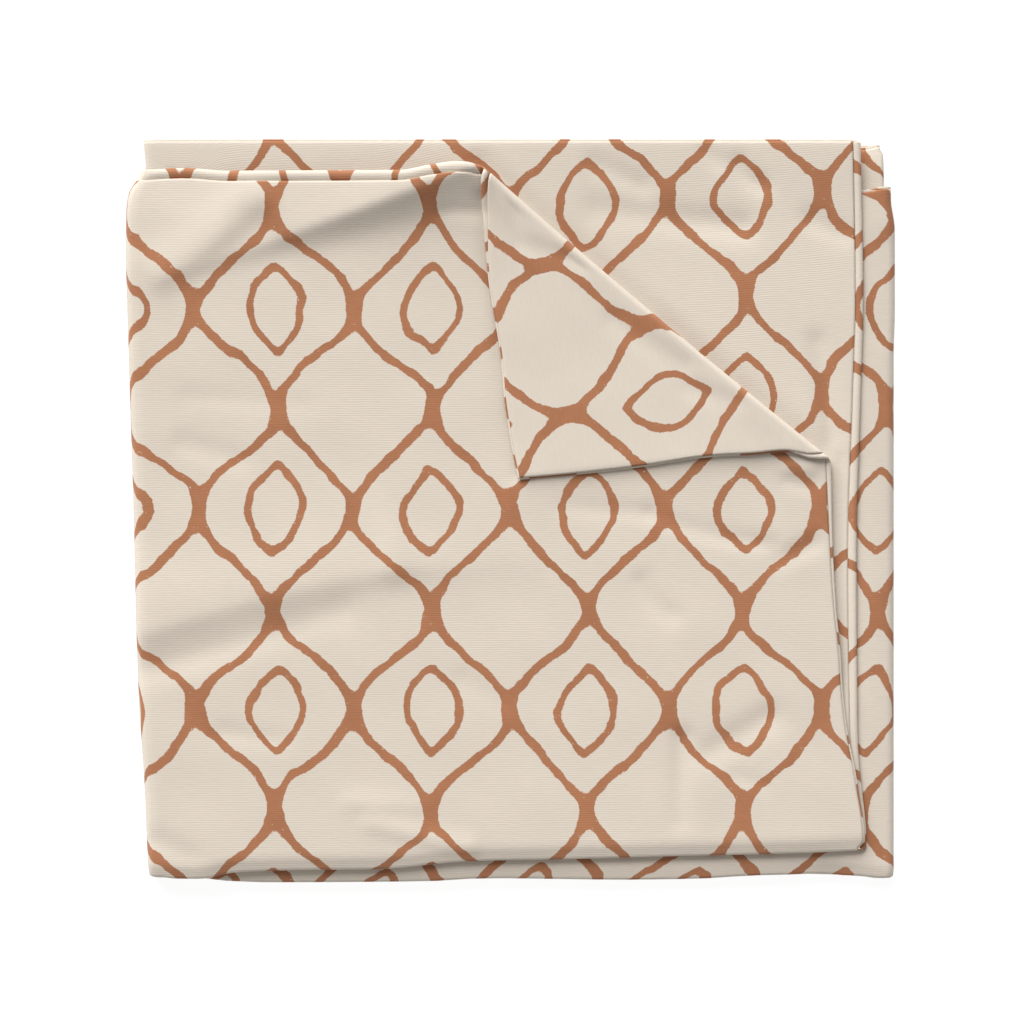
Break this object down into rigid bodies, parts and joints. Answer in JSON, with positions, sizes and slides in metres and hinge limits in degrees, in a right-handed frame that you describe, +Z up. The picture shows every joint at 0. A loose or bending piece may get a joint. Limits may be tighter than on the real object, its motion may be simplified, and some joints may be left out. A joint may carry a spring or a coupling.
{
  "type": "folded printed cloth",
  "caption": "Printed cotton cloth, folded in half and then in three, with one corner of its top layer turned back.",
  "frame": {"origin": "on the table, under the middle of the folded cloth", "axes": "+Z up out of the stack of layers, +Y from the half fold towards the hems, +X from the left fold to the right fold"},
  "size_m": [0.5816, 0.5617, 0.0338],
  "materials": {
    "printed_cotton": "cream ribbed cotton with a terracotta block print on both faces, matt"
  },
  "bodies": {
    "root": {"cloth": "printed_cotton"}
  },
  "joints": []
}
